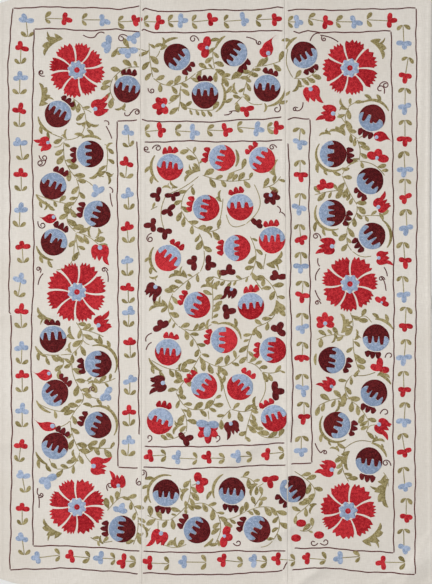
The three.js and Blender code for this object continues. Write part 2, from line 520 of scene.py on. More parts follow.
def sew(name, thread, fields, shade=0.0):
    """One mesh of stitching for each panel that the fields lie on, riding with the cloth.

    It has the rows' pattern as its UV map, and each field's own tone as an attribute. Where the thread is
    of another dye lot, shade makes all of its tones lighter or darker.
    """
    material, slot = thread
    for panel in PANEL_EDGES:
        parts = [part for part in (on_panel(field, panel) for field in fields) if part]
        if not parts:
            continue
        points, quads, pattern, tone = zip(*parts)
        starts = np.cumsum((0,) + tuple(len(part) for part in points[:-1]))
        quads = np.vstack([part + start for part, start in zip(quads, starts)])
        made = mesh_object(f"{name}_{panel}", np.vstack(points), quads, material)
        uv = made.data.uv_layers.new(name="rows")
        uv.data.foreach_set("uv", np.vstack(pattern)[quads].astype(np.float32).ravel())
        tones = made.data.attributes.new("tone", "FLOAT", "POINT")
        tones.data.foreach_set("value", np.concatenate(tone).astype(np.float32) + shade)
        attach(made, "root")
        stitching_on[panel].append(made)


def chain_stitch_group():
    """Chain stitch on the rows' pattern: a band for each row, one for each link, and uneven dyeing. The row
    band is also painted shade, dark in the grooves between rows.
    """
    group, given, out = node_group(
        "chain stitch",
        {"Rows": "NodeSocketVector", "Place": "NodeSocketVector"},
        {"Height": "NodeSocketFloat", "Groove shade": "NodeSocketFloat", "Dye": "NodeSocketFloat"},
    )
    rows, place = given.outputs["Rows"], given.outputs["Place"]
    one_each = np.pi / 10  # the scale at which the wave texture has one band for each unit
    # The row band: bump height, and painted shade that is 0 in the grooves between rows and 1 on their
    # ridges
    row = node(group, "ShaderNodeTexWave", {"Vector": rows, "Scale": one_each}, bands_direction="Y")
    link = node(group, "ShaderNodeTexWave", {"Vector": rows, "Scale": one_each, "Distortion": 1.0})
    height = maths(group, "ADD", row.outputs["Fac"], link.outputs["Fac"])
    sizes = [{"Vector": place, "Scale": scale} for scale in DYE_SCALES]
    dye = maths(group, "ADD", *(node(group, "ShaderNodeTexNoise", size).outputs["Fac"] for size in sizes))
    group.links.new(height, out.inputs["Height"])
    group.links.new(row.outputs["Fac"], out.inputs["Groove shade"])
    group.links.new(dye, out.inputs["Dye"])
    return group


CHAIN_STITCH = chain_stitch_group()


def thread_material(name, dark, light):
    """Dyed thread: from a dark to a light colour, by the field's own tone, the dye and painted shade that
    darkens the grooves between rows.

    It gives the material and the name of the material slot.
    """
    material, tree, shader = new_material(name)
    rows = node(tree, "ShaderNodeUVMap", uv_map="rows").outputs["UV"]
    place = node(tree, "ShaderNodeTexCoord").outputs["Object"]
    chain = node(tree, "ShaderNodeGroup", {"Rows": rows, "Place": place}, node_tree=CHAIN_STITCH)
    tone = node(tree, "ShaderNodeAttribute", attribute_name="tone").outputs["Fac"]
    own = maths(tree, "MULTIPLY", tone, OWN_TONE)
    # Painted shade: the thread is darker in the grooves between rows, by the row band
    side = maths(tree, "MULTIPLY", chain.outputs["Groove shade"], ROW_GROOVE_SHADE)
    mixed = maths(tree, "ADD", maths(tree, "ADD", own, chain.outputs["Dye"]), side)
    colour = blend(tree, share_of(tree, mixed, DARKEST, LIGHTEST), (*dark, 1), (*light, 1))
    dress(tree, shader, colour, (chain.outputs["Height"], 0.5, 0.8 * MM), roughness=0.65, gloss=0.08)
    return material, name.replace(" ", "_")


brown = thread_material("brown thread", (0.065, 0.012, 0.013), (0.14, 0.034, 0.032))
sew("outline_rows", brown, [stitched(*band(hand_drawn(line), OUTLINE_WIDTH / 2)) for line in OUTLINES])


# Sprigs of the guard borders: a trefoil on a thin stem with two leaves at its foot, red and blue in turn.
# Each is a few rows of chain stitch, and the sprigs run one after another round both guard borders.
STEM_WIDTH = 1.0
SPRIG_FLOWER = 14.5
TREFOIL_TURNS = (0, 86, -86)  # the way that its three lobes point from the flower's own
TREFOIL_LENGTHS = (0.62, 0.58, 0.58)  # and their lengths, of the flower's size
red = thread_material("red thread", (0.265, 0.004, 0.010), (0.645, 0.040, 0.050))
blue = thread_material("blue thread", (0.205, 0.272, 0.40), (0.43, 0.512, 0.672))
olive = thread_material("olive thread", (0.165, 0.130, 0.043), (0.42, 0.355, 0.178))

# Upright rows of sprigs, blue and red in turn: the way that the flowers point (0 right, 90 up), the stem's
# length, and each flower's x and y
SPRIG_COLUMNS = (
    # outer left
    (90, 18, (
        (26, 19), (21, 46), (20, 76), (20, 109), (20, 142), (21, 173), (20, 209), (22, 245), (21, 279),
        (21, 310), (22, 346), (22, 374), (22, 409), (21, 444), (22, 475), (22, 507), (22, 537),
    )),
    # outer right
    (270, 20, (
        (404, 45), (405, 77), (405, 108), (405, 140), (405, 171), (405, 199), (407, 229), (405, 262),
        (404, 296), (405, 327), (404, 359), (404, 391), (404, 422), (405, 453), (405, 487), (406, 518),
        (404, 549),
    )),
    # inner left
    (90, 16, (
        (128, 131), (127, 162), (128, 194), (127, 227), (127, 260), (128, 287),
        (129, 311), (130, 342), (130, 379), (129, 410), (129, 440),
    )),
    # inner right
    (270, 16, (
        (299, 144), (300, 176), (299, 209), (301, 240), (301, 268), (302, 297),
        (302, 329), (302, 358), (303, 390), (304, 418), (301, 452),
    )),
)

# Level rows of sprigs: the way that the flowers point, and each flower's colour, red or blue, its x and y
# and its stem's length
SPRIG_ROWS = (
    # outer top
    (0, (
        ("r", 66, 19, 21), ("b", 104, 20, 22), ("r", 136, 21, 18), ("r", 160, 22, 16), ("b", 182, 21, 14),
        ("r", 212, 20, 20), ("b", 245, 20, 21), ("r", 276, 19, 20), ("b", 299, 22, 11), ("r", 327, 22, 19),
        ("b", 356, 22, 20), ("r", 391, 21, 24),
    )),
    # outer bottom
    (180, (
        ("b", 36, 558, 24), ("r", 70, 556, 20), ("b", 99, 558, 16), ("r", 122, 561, 14),
        ("r", 148, 563, 21), ("b", 183, 562, 23), ("r", 222, 560, 21), ("b", 253, 560, 14),
        ("r", 276, 559, 19), ("r", 306, 558, 20), ("b", 339, 558, 21), ("r", 381, 562, 24),
    )),
    # inner top
    (0, (
        ("r", 162, 130, 17), ("b", 194, 132, 19), ("r", 227, 131, 20), ("b", 258, 129, 21),
        ("r", 278, 128, 11),
    )),
    # inner bottom
    (180, (
        ("r", 149, 456, 17), ("b", 176, 458, 21), ("r", 207, 458, 18), ("b", 237, 456, 15),
        ("r", 266, 454, 18),
    )),
)


def directions(turns):
    """Unit steps on the chart for turns in radians: to the right at 0, and up at a quarter turn."""
    return np.stack((np.cos(turns), -np.sin(turns)), axis=-1)


def walked(x, y, headings, length):
    """A line from x, y in even steps, each with its own heading, for length squares in all."""
    step = length / (len(headings) - 1) * directions(headings)
    return np.array((x, y)) + np.cumsum(step, axis=0) - step[:1]


def blade(x, y, angle, length, width, bend=0.0, roundness=0.8, widest=0.5, raised=0.0, taper=0.0):
    """A leaf, lobe or tail: a band along a line that starts at x, y and turns by bend degrees on its way.

    The half width is a sine of the way along, raised to a power: under 1 for round ends, over 1 for
    pointed ones, and larger by taper at the tip than at the foot. The way along is itself raised to the
    power that puts the widest place at the share given.
    """
    share = np.linspace(0, 1, max(8, int(length)))
    line = walked(x, y, np.radians(angle + bend * (share - 0.5)), length)
    swell = np.sin(np.pi * share ** (np.log(0.5) / np.log(widest)))
    half_width = width / 2 * np.maximum(swell, 0.02) ** (roundness + taper * share)
    return stitched(*band(line, half_width), raised=raised)


def ahead(x, y, angle, distance):
    """The point at a distance from x, y in a direction on the chart."""
    return x + distance * np.cos(np.radians(angle)), y - distance * np.sin(np.radians(angle))


def trefoil(x, y, angle, size):
    """Three round lobes that run together at a foot: one ahead and one to either side."""
    turns = angle + chance.normal(0, 10, 3) + TREFOIL_TURNS
    lengths = size * chance.uniform(0.85, 1.2, 3) * TREFOIL_LENGTHS
    foot = ahead(x, y, angle, -0.14 * size)
    lobes = []
    for turn, length in zip(turns, lengths):
        lobe_foot = ahead(*foot, turn, -0.08 * size)
        lobes.append(blade(*lobe_foot, turn, length, 0.38 * size, roundness=0.45, widest=0.58))
    return lobes


sprig_flowers = {"r": [], "b": []}
sprig_leaves = []


def sprig(colour, x, y, angle, stem):
    """One sprig: its flower at x, y, the stem back from it, and two leaves that rise from its foot."""
    lean = angle + chance.normal(0, 4)
    sprig_flowers[colour].extend(trefoil(x, y, lean, SPRIG_FLOWER))
    foot = ahead(x, y, lean, -stem)
    stalk = np.linspace(ahead(x, y, lean, -2), foot, 10)
    sprig_leaves.append(stitched(*band(stalk, STEM_WIDTH / 2)))
    for side in (1, -1):
        way = lean + side * chance.uniform(36, 60)
        length = chance.uniform(7.5, 9.5)
        shape = {"width": 0.52 * length, "bend": -side * 40, "roundness": 0.7, "widest": 0.6}
        sprig_leaves.append(blade(*foot, way, length, **shape))


for angle, stem, flowers in SPRIG_COLUMNS:
    for colour, (x, y) in zip(np.resize(("b", "r"), len(flowers)), flowers):
        sprig(colour, x, y, angle, stem)
for angle, flowers in SPRIG_ROWS:
    for colour, x, y, stem in flowers:
        sprig(colour, x, y, angle, stem)
sew("sprig_flowers_red", red, sprig_flowers["r"])
sew("sprig_flowers_blue", blue, sprig_flowers["b"])
sew("sprig_leaves", olive, sprig_leaves)


# Rosettes: six large red flowers, in the corners and half way down the sides, each with a blue heart.
# Every petal is filled with rows of chain stitch, with a line of bare cotton between it and the next.
HEART_RADIUS = 8.6
LOBE_DEPTH = 0.18  # of the heart's radius
HEART_RAISED = 0.4 * MM  # the heart's lobes lie over the petals' feet
PISTIL_RADIUS = 3.0
PISTIL_OVERLAP = 0.3  # how far the heart reaches in under the pistil
PETAL_FOOT = HEART_RADIUS + 0.2
GAP_AT_HEART = 1.0
GAP_AT_RIM = 2.2
PETAL_TEETH = 5
PETAL_TOOTH_DEPTH = 0.11  # of the rosette's radius
PETAL_CORNERS_IN = 0.07  # how far a petal's two corners are drawn in, of the radius

# x, y, radius, petals, turn in degrees of the first gap, and how far the gaps curve
ROSETTES = (
    (77, 70, 28.4, 8, 98, -1.1),
    (350, 68, 28.6, 7, 104, 0.8),
    (77, 292, 30.8, 8, 88, -1.1),
    (350, 284, 28.4, 7, 84, 1.1),
    (77, 507, 28.8, 8, 92, 0.9),
    (348, 511, 29.0, 7, 82, 1.0),
)


def saw(share, teeth):
    """A row of pointed teeth over a share from 0 to 1: straight up to 1 and straight down to 0 again."""
    return 1 - np.abs(2 * ((share * teeth) % 1) - 1)


def disc(x, y, radius, inner_radius, points=40, lobes=0, lobe_at=0.0, raised=0.0):
    """Rings of chain stitch: a circle, lobed by a cosine with its first lobe at lobe_at, worked inwards."""
    turn = np.linspace(0, 2 * np.pi, points, endpoint=False)
    ring = directions(turn)
    depth = LOBE_DEPTH if lobes else 0
    reach = radius * (1 + depth * np.cos(lobes * (turn - np.radians(lobe_at))))
    outer = np.array((x, y)) + reach[:, None] * ring
    inner = np.array((x, y)) + inner_radius * ring
    return stitched(outer, inner, closed=True, filled=inner_radius < 1, raised=raised)


def petal(x, y, radius, start, end, curl):
    """One petal between two directions: from an arc round the heart to a serrated, rounded outer edge.

    The outer edge is an arc with a row of teeth taken off it and its two corners drawn in. Half way out,
    the petal is moved sideways by curl, so that the gaps on both sides of it are curved.
    """
    share = np.linspace(0, 1, 43)
    middle, half = np.radians(start + end) / 2, np.radians(end - start) / 2
    uneven = share + 0.05 * np.sin(2 * np.pi * share + chance.uniform(0, 6))
    taken_off = PETAL_TOOTH_DEPTH * (1 - saw(uneven, PETAL_TEETH))
    taken_off = taken_off + PETAL_CORNERS_IN * np.abs(2 * share - 1) ** 3
    outer = radius * chance.uniform(0.97, 1.03) * (1 - taken_off)
    inner = np.full_like(share, PETAL_FOOT)
    edges = []
    for reach, gap in ((inner, GAP_AT_HEART), (outer, GAP_AT_RIM)):
        direction = middle + (2 * share - 1) * (half - gap / 2 / reach)
        edges.append(np.array((x, y)) + reach[:, None] * directions(direction))
    sideways = curl * np.array((-np.sin(middle), -np.cos(middle)))
    return stitched(*edges, bulge=sideways)


petals = []
hearts = []
pistils = []
for x, y, radius, count, turn, curl in ROSETTES:
    gaps = turn + 360 / count * np.arange(count) + chance.normal(0, 3, count)
    gaps = np.append(gaps, gaps[0] + 360)
    for start, end in zip(gaps[:-1], gaps[1:]):
        petals.append(petal(x, y, radius, start, end, curl))
    first_lobe = (gaps[0] + gaps[1]) / 2
    heart_inside = PISTIL_RADIUS - PISTIL_OVERLAP
    hearts.append(disc(x, y, HEART_RADIUS, heart_inside, 64, count, first_lobe, HEART_RAISED))
    pistils.append(disc(x, y, PISTIL_RADIUS, inner_radius=0.3, points=20))
sew("rosette_petals", red, petals)
sew("rosette_hearts", blue, hearts)
sew("rosette_pistils", red, pistils)


# Pomegranates: round fruits of two colours, with three teeth where one half bites the other, and a crown.
# Those of the main border are dark red and blue, and those of the middle field red and blue.
BORDER_FRUIT_RADIUS = 13.4
FIELD_FRUIT_RADIUS = 13.2

# Of the fruit's radius
TOOTH_PLACES = (-0.47, 0, 0.47)
TOOTH_HEIGHT = 0.52
TOOTH_HALF_WIDTH = 0.16
CROWN_FOOT = 0.45  # half the crown's width where it meets the fruit
CROWN_TIP = 0.64  # and across its lobes
CROWN_LOBE = 0.37

dark_red = thread_material("dark red thread", (0.05, 0.003, 0.0045), (0.175, 0.018, 0.02))

# x, y, the way that the crown points (0 right, 90 up), and 1 where the blue half has the crown, or -1
BORDER_FRUIT = (
    # left panel
    (127, 89, 75, 1), (58, 114, 60, 1), (90, 154, 180, 1), (53, 186, 65, 1), (97, 214, 160, 1),
    (54, 242, 65, 1), (53, 339, 95, 1), (98, 364, 175, 1), (55, 393, 40, -1), (98, 425, 155, 1),
    (55, 446, 65, -1), (122, 529, 170, 1),
    # middle panel
    (177, 57, 315, 1), (205, 95, 90, 1), (234, 53, 325, 1), (267, 88, 85, 1), (166, 493, 265, 1),
    (197, 530, 145, 1), (232, 491, 265, 1), (257, 529, 150, 1),
    # right panel
    (304, 55, 300, 1), (372, 118, 245, 1), (333, 154, 0, -1), (370, 181, 225, 1), (332, 213, 0, -1),
    (372, 236, 215, 1), (376, 338, 270, 1), (332, 360, 345, 1), (374, 393, 235, 1), (337, 425, 340, 1),
    (369, 461, 265, 1), (293, 489, 220, 1),
)
FIELD_FRUIT = (
    (170, 167, 85, 1), (222, 158, 165, 1), (262, 160, 150, 1), (206, 208, 165, 1), (240, 207, 95, 1),
    (168, 258, 50, 1), (237, 248, 180, 1), (272, 240, 90, 1), (197, 305, 155, 1), (251, 306, 95, 1),
    (168, 352, 85, 1), (224, 340, 175, 1), (273, 350, 170, 1), (204, 386, 145, 1), (240, 387, 45, 1),
    (160, 421, 70, 1), (274, 418, 110, 1),
)


def turned(local, x, y, angle, size):
    """Local points, across and ahead, sized and set at x, y so that ahead is the given direction."""
    across, forward = local[:, 0] * size, local[:, 1] * size
    slope = np.radians(angle)
    right = x + across * np.sin(slope) + forward * np.cos(slope)
    down = y + across * np.cos(slope) - forward * np.sin(slope)
    return np.stack((right, down), axis=-1)


def pomegranate(x, y, crown, blue_side, radius):
    """The two halves of a fruit and its crown.

    A line splits a circle: it comes down from the rim on both sides as a high power of the way across, and
    three rounded teeth rise from it. Each half is the space from that line to its own arc. The crown is the
    space from a shallow curve to a row of uneven lobes, just past the circle.
    """
    share = np.linspace(0, 1, 91)
    reach = -np.cos(np.pi * share)
    left, right = np.arcsin(chance.uniform(0.0, 0.42, 2))
    side = np.where(reach < 0, left, right)
    across = reach * np.cos(side)
    dip = chance.uniform(-0.26, -0.06)
    middles = np.array(TOOTH_PLACES) + chance.normal(0, 0.04, 3)
    heights = TOOTH_HEIGHT + chance.normal(0, 0.07, 3)
    off_tooth = (across - middles[:, None]) / TOOTH_HALF_WIDTH
    teeth = (heights[:, None] * np.exp(-(off_tooth**6))).max(axis=0)
    split = np.stack((across, dip + (np.sin(side) - dip) * np.abs(reach) ** 9 + teeth), axis=-1)
    far_turn = np.pi - left + share * (np.pi + left + right)
    near_turn = np.pi - left - share * (np.pi - left - right)
    far_bulge = 1 + 0.05 * np.maximum(0, -np.sin(far_turn)) ** 6
    far_arc = far_bulge[:, None] * np.stack((np.cos(far_turn), np.sin(far_turn)), axis=-1)
    near_arc = np.stack((np.cos(near_turn), np.sin(near_turn)), axis=-1)
    place = (x, y, crown if blue_side > 0 else crown + 180, radius)
    toothed = stitched(turned(far_arc, *place), turned(split, *place))
    other = stitched(turned(split, *place), turned(near_arc, *place))
    spread = np.linspace(-1, 1, 37)
    foot = np.stack((CROWN_FOOT * spread, 1.03 - 0.06 * spread**2), axis=-1)
    uneven = np.interp(spread, np.linspace(-1, 1, 4), chance.uniform(0.8, 1.3, 4))
    lobes = CROWN_LOBE * uneven * np.abs(np.cos(1.5 * np.pi * spread)) ** 0.5
    tip_across = CROWN_TIP * spread + chance.normal(0, 0.07)
    tip = np.stack((tip_across, 1.18 + lobes - 0.12 * spread**2), axis=-1)
    crown_place = (x, y, crown + chance.normal(0, 7), radius)
    return toothed, other, stitched(turned(foot, *crown_place), turned(tip, *crown_place))


for name, thread, table, radius, blue_shade in (
    ("border_fruit", dark_red, BORDER_FRUIT, BORDER_FRUIT_RADIUS, -1.6),
    ("field_fruit", red, FIELD_FRUIT, FIELD_FRUIT_RADIUS, 0.5),
):
    toothed, other, crowns = zip(*(pomegranate(*fruit, radius) for fruit in table))
    sew(f"{name}_toothed_halves", thread, toothed)
    sew(f"{name}_blue_halves", blue, other, blue_shade)
    sew(f"{name}_crowns", thread, crowns)


# Small flowers: tulips with a jagged mouth, buds, open blossoms, trefoils and berries between the fruits.
# They are worked in red, dark red or blue, and many have a blue eye over the foot.
EYE_RAISED = 0.7 * MM  # an eye is worked over the flower's own stitching
BLUE_RAISED = 0.38 * MM  # one of the blue trefoils is worked over a red blossom
BERRY_LENGTH = 10.8
BERRY_WIDTH = 8
TULIP_FINGERS = 3
LONG_TAIL = 0.38  # how much longer a tulip's long tail is, of the flower's size

# Blossoms by the number of their lobes: how far the outer lobes turn away, and, of the flower's size, a
# lobe's width, the middle lobe's length, and how much longer the outer lobes are
BLOSSOM_KINDS = {3: (82, 0.48, 0.56, 0.08), 5: (105, 0.36, 0.62, -0.16)}

# For each thread: x, y, the way that the flower points and its size. The tulips then have the side of their
# long tail, looking along the flower: 1 right or -1 left
TULIPS = {
    "red": (
        (100, 107, 15, 18, -1), (312, 94, 285, 18, -1), (328, 113, 168, 18, -1), (44, 144, 195, 15, 1),
        (100, 253, 270, 19, -1), (382, 204, 40, 17, -1), (327, 246, 172, 18, -1), (383, 258, 355, 15, 1),
        (103, 323, 20, 18, -1), (383, 427, 330, 17, 1), (99, 466, 355, 19, -1), (118, 481, 100, 16, -1),
        (159, 538, 250, 18, 1), (327, 468, 168, 18, -1), (328, 384, 150, 15, -1),
    ),
    "dark_red": (
        (153, 291, 240, 17, -1), (230, 293, 250, 14, 1), (158, 384, 195, 18, -1), (232, 428, 290, 16, 1),
    ),
}
# The buds then have their width, and whether a round lobe is beside them
BUDS = {
    "red": (
        (272, 46, 70, 22, 12, True), (383, 140, 345, 19, 11, False), (47, 216, 178, 18, 10, False),
        (42, 372, 175, 19, 12, False), (45, 422, 160, 23, 10, False),
    ),
}
# The blossoms then have the number of their lobes
BLOSSOMS = {
    "red": (
        (159, 106, 185, 20, 5), (203, 47, 170, 18, 3), (378, 154, 75, 18, 3), (202, 482, 10, 18, 3),
        (228, 537, 345, 17, 3), (383, 300, 60, 12, 3), (325, 319, 92, 20, 5), (208, 434, 270, 22, 5),
    ),
    "dark_red": ((272, 199, 290, 18, 5),),
}
TREFOILS = {
    "red": ((324, 184, 110, 18), (380, 367, 80, 19), (246, 111, 280, 15), (269, 481, 270, 17)),
    "blue": (
        (107, 44, 185, 17), (133, 39, 290, 15), (128, 53, 270, 17), (97, 191, 110, 15),
        (107, 396, 310, 17), (47, 482, 270, 19), (120, 509, 60, 15), (208, 427, 270, 21),
    ),
    "dark_red": (
        (156, 195, 180, 15), (173, 197, 280, 14), (169, 212, 300, 15), (151, 225, 185, 16),
        (165, 233, 270, 16), (192, 262, 180, 17), (210, 264, 0, 17), (258, 223, 55, 15),
        (228, 270, 90, 17), (277, 275, 100, 17), (160, 325, 120, 18), (228, 312, 0, 18),
        (279, 328, 60, 19), (277, 391, 10, 19), (186, 438, 40, 17),
    ),
}
BERRIES = ((301, 523), (296, 538), (319, 535))

small_flowers = {"red": [], "dark_red": [], "blue": []}
flower_eyes = []


def add_eye(x, y, radius):
    """A small blue disc, worked over a flower's foot."""
    flower_eyes.append(disc(x, y, radius, inner_radius=0.2, points=14, raised=EYE_RAISED))


def tulip(x, y, angle, size, tail_side):
    """A bell from a foot of two round shoulders to a mouth of three fingers, with a long and a short tail.

    The foot's edge is two half waves of a sine, with a notch between them, where the blue eye is. The
    mouth's edge is a shallow parabola with three rounded teeth on it. The tails are blades that start at
    the bell's two sides.
    """
    share = np.linspace(0, 1, 33)
    reach = 2 * share - 1
    foot = np.stack((0.45 * reach, -0.28 - 0.18 * np.abs(np.sin(np.pi * reach)) ** 0.8), axis=-1)
    uneven = share + 0.05 * np.sin(2 * np.pi * share + chance.uniform(0, 6))
    fingers = chance.uniform(0.28, 0.38) * saw(uneven, TULIP_FINGERS) ** 0.55
    mouth = np.stack((0.42 * reach, 0.12 - 0.1 * reach**2 + fingers), axis=-1)
    lean = angle + chance.normal(0, 4)
    place = (x, y, lean, size)
    middle = turned(np.zeros((1, 2)), *place)
    outwards = turned(np.stack((0.05 * reach, 0 * reach), axis=-1), *place) - middle
    bell = [stitched(turned(foot, *place), turned(mouth, *place), bulge=outwards)]
    for side, longer_by in ((tail_side, LONG_TAIL), (-tail_side, 0)):
        corner = turned(np.array(((0.3 * side, -0.12),)), *place)[0]
        length = size * (chance.uniform(0.4, 0.55) + longer_by)
        bell.append(blade(*corner, lean - side * 12, length, 0.28 * size, bend=-side * 75, roundness=1.0))
    add_eye(*ahead(x, y, lean, -0.28 * size), 0.13 * size)
    return bell


def bud(x, y, angle, size, width, with_lobe):
    """A closed bud: one blade, round at its foot and bent towards its thin tip, with a blue eye."""
    foot = ahead(x, y, angle, -0.5 * size)
    add_eye(*ahead(*foot, angle + 20, 0.14 * size), 0.11 * size)
    blades = [blade(*foot, angle, 1.15 * size, width, bend=-75, roundness=0.45, widest=0.3, taper=4.0)]
    if with_lobe:
        blades.append(blade(*foot, angle + 65, 0.5 * size, 0.44 * size, roundness=0.5))
    return blades


def blossom(x, y, angle, size, lobes):
    """An open flower: lobes that fan out ahead of a blue eye, five slender ones or three broad ones."""
    foot = ahead(x, y, angle, -0.22 * size)
    spread, width, reach, outer_longer = BLOSSOM_KINDS[lobes]
    fan = []
    for turn in np.linspace(-1, 1, lobes):
        length = (reach + outer_longer * abs(turn)) * size * chance.uniform(0.92, 1.1)
        fan.append(blade(*foot, angle + turn * spread, length, width * size, roundness=0.45))
    add_eye(*foot, 0.11 * size)
    return fan


for make, tables in ((tulip, TULIPS), (bud, BUDS), (blossom, BLOSSOMS), (trefoil, TREFOILS)):
    for colour, table in tables.items():
        for flower in table:
            small_flowers[colour].extend(make(*flower))
for x, y in BERRIES:
    berry = blade(x - BERRY_LENGTH / 2, y, 0, BERRY_LENGTH, BERRY_WIDTH, roundness=0.5)
    small_flowers["red"].append(berry)
for field in small_flowers["blue"]:
    field["lift"] += BLUE_RAISED
sew("small_flowers_red", red, small_flowers["red"])
sew("small_flowers_dark_red", dark_red, small_flowers["dark_red"])
sew("small_flowers_blue", blue, small_flowers["blue"])
sew("flower_eyes", blue, flower_eyes, shade=3.0)


# Vines: olive stems that wind between the fruits, with leaves on both sides, crescents that hug the fruits
# and broad lobed leaves. Stems are single rows of chain stitch, and each leaf is a few rows.
LEAF_EVERY = 5.8
LEAF_SIZES = (1, 0.8, 0.65)  # a leaf that has no room is tried smaller
LEAVES_APART = 4.4
LEAF_CLEAR = 0.2  # of flowers and fruits
CROWN_AHEAD = 18  # from the middle of a fruit to the middle of its crown
CROWN_ROOM = 6
BERRY_ROOM = 5
FLOWER_ROOM = 0.45  # of the flower's size
CRESCENT_BLADE_EVERY = 9.0
CRESCENT_TIP = 0.5  # half its width at the tips
CRESCENT_SWELL = 1.3  # and how much is added half way
LOBE_LENGTH = 7.0  # along a broad leaf

# Of a broad leaf's length
PLAIN_EDGE = 0.07
LOBED_EDGE = 0.12
LOBE_RISE = 0.21

VINE_RAISED = -0.15 * MM  # fruits and flowers are worked over the vines' ends

# Where leaves may be, as left, top, right and bottom: in the field, or in the border and not in the guard
FIELD_BOX = (143, 145, 286, 442)
GUARD_BOX = (115, 117, 313, 470)
BORDER_BOX = (35, 34, 390, 547)

# Leafy vines: from x, y to x, y, then how far it bows to its left and, in a few, how far it sways
VINES = (
    # main border, top
    (149, 52, 116, 48, -2), (149, 42, 153, 78, -1), (153, 78, 172, 86, -2), (172, 86, 196, 73, -2),
    (180, 88, 178, 112, 1), (181, 106, 214, 110, -2), (140, 67, 113, 78, -4), (113, 78, 115, 101, -4),
    (213, 49, 215, 69, -1), (215, 69, 196, 73, -2), (215, 69, 231, 80, -2), (236, 78, 254, 67, -4),
    (254, 67, 281, 61, -1), (254, 70, 243, 96, -2), (243, 96, 234, 105, 0), (293, 78, 318, 68, -5),
    (349, 107, 345, 121, -1), (345, 121, 358, 139, -3), (348, 107, 366, 101, 2), (72, 98, 86, 121, 4),
    # main border, left
    (65, 139, 50, 133, 0), (64, 141, 76, 178, -5), (76, 178, 72, 206, 5), (107, 146, 106, 172, 1),
    (35, 194, 68, 204, -1), (72, 206, 76, 232, -7), (76, 232, 99, 245, 2), (76, 232, 80, 256, -1),
    (76, 322, 72, 354, 9), (80, 329, 104, 337, 1), (63, 357, 55, 372, 4),
    (72, 354, 82, 392, -4), (82, 392, 81, 404, 2), (84, 380, 116, 378, -4), (81, 404, 70, 420, -1),
    (70, 420, 80, 452, -2), (80, 452, 56, 469, 7), (56, 469, 49, 458, 1), (84, 444, 113, 448, -2),
    (36, 402, 64, 412, -2), (37, 353, 60, 355, -1),
    # main border, bottom
    (107, 511, 138, 516, 17), (138, 516, 133, 545, 2), (90, 537, 113, 541, -3), (190, 478, 187, 505, 2),
    (187, 505, 170, 520, 1), (170, 520, 147, 515, 2), (184, 510, 218, 514, 9), (218, 514, 215, 544, 4),
    (221, 520, 246, 511, -2), (164, 545, 187, 544, -3), (240, 477, 257, 486, 3), (254, 507, 263, 493, 0),
    (246, 512, 274, 508, 3), (274, 508, 273, 540, 6), (294, 471, 296, 515, 20), (299, 530, 313, 526, -3),
    (383, 472, 388, 487, 2),
    # main border, right
    (357, 139, 359, 161, 2), (359, 161, 385, 176, 4), (342, 175, 357, 205, -1),
    (357, 205, 347, 236, 0, 2), (347, 236, 352, 251, -2), (356, 217, 382, 216, 1), (345, 190, 314, 195, -1),
    (350, 312, 353, 327, 1), (355, 321, 372, 323, 6), (346, 336, 316, 340, -3), (353, 338, 360, 373, -2),
    (352, 375, 350, 400, -6), (350, 400, 368, 420, 2), (368, 418, 366, 433, 1), (350, 399, 318, 406, -3),
    (345, 448, 349, 482, -5),
    # middle field, left half
    (200, 172, 186, 147, -4), (194, 184, 181, 210, -4), (181, 210, 205, 231, -4), (205, 231, 221, 227, -2),
    (199, 233, 204, 250, 1), (200, 272, 173, 293, -1), (173, 293, 178, 326, -7), (178, 326, 201, 354, 4),
    (184, 329, 212, 324, -4), (212, 320, 212, 286, -1), (201, 354, 176, 392, 1), (176, 392, 206, 409, -8),
    (206, 409, 215, 398, -2), (203, 360, 240, 355, -9), (151, 360, 186, 371, -3), (181, 408, 186, 432, 3),
    (186, 432, 163, 440, 2), (150, 210, 158, 206, 0),
    # middle field, right half
    (202, 175, 251, 179, -4), (228, 174, 244, 168, 0), (262, 188, 281, 176, -3), (250, 236, 250, 276, 6),
    (250, 276, 212, 276, 5), (252, 276, 263, 291, 0), (262, 276, 278, 300, 3), (278, 300, 256, 327, 7),
    (256, 327, 247, 362, -3), (247, 362, 262, 372, 2), (262, 372, 282, 370, -2), (231, 409, 258, 406, -4),
    (252, 411, 245, 440, -1), (250, 420, 280, 437, -8), (231, 409, 221, 419, 0),
)

# Stems without leaves, in the same columns
BARE_STEMS = (
    # main border
    (168, 104, 181, 85, -4), (160, 50, 151, 60, 2), (243, 96, 263, 104, -4), (288, 48, 293, 78, -4),
    (338, 113, 346, 124, 0), (358, 139, 371, 136, 2), (82, 109, 92, 113, 1), (86, 121, 64, 140, 7),
    (63, 142, 53, 147, 2), (76, 178, 94, 187, 2), (76, 234, 74, 262, -1), (74, 257, 56, 270, 4),
    (82, 339, 90, 345, -1), (72, 354, 60, 355, 0), (70, 421, 54, 427, 2), (81, 443, 93, 465, -2),
    (84, 391, 100, 399, -2), (119, 498, 121, 487, 0), (198, 480, 191, 485, 2), (158, 520, 158, 531, 0),
    (273, 540, 260, 547, 2), (256, 488, 264, 483, 0), (352, 251, 372, 256, -3), (359, 161, 342, 175, -3),
    (376, 372, 352, 375, 2), (367, 430, 376, 425, 2), (372, 442, 345, 448, -4),
    # middle field
    (199, 176, 166, 195, 2), (166, 195, 164, 229, -4), (204, 250, 200, 272, 2), (208, 410, 209, 420, 0),
    (254, 184, 246, 224, 10), (246, 224, 226, 214, 8), (223, 198, 218, 226, 1), (266, 253, 263, 270, 0),
    (262, 372, 259, 404, 5), (223, 384, 231, 409, -1),
)

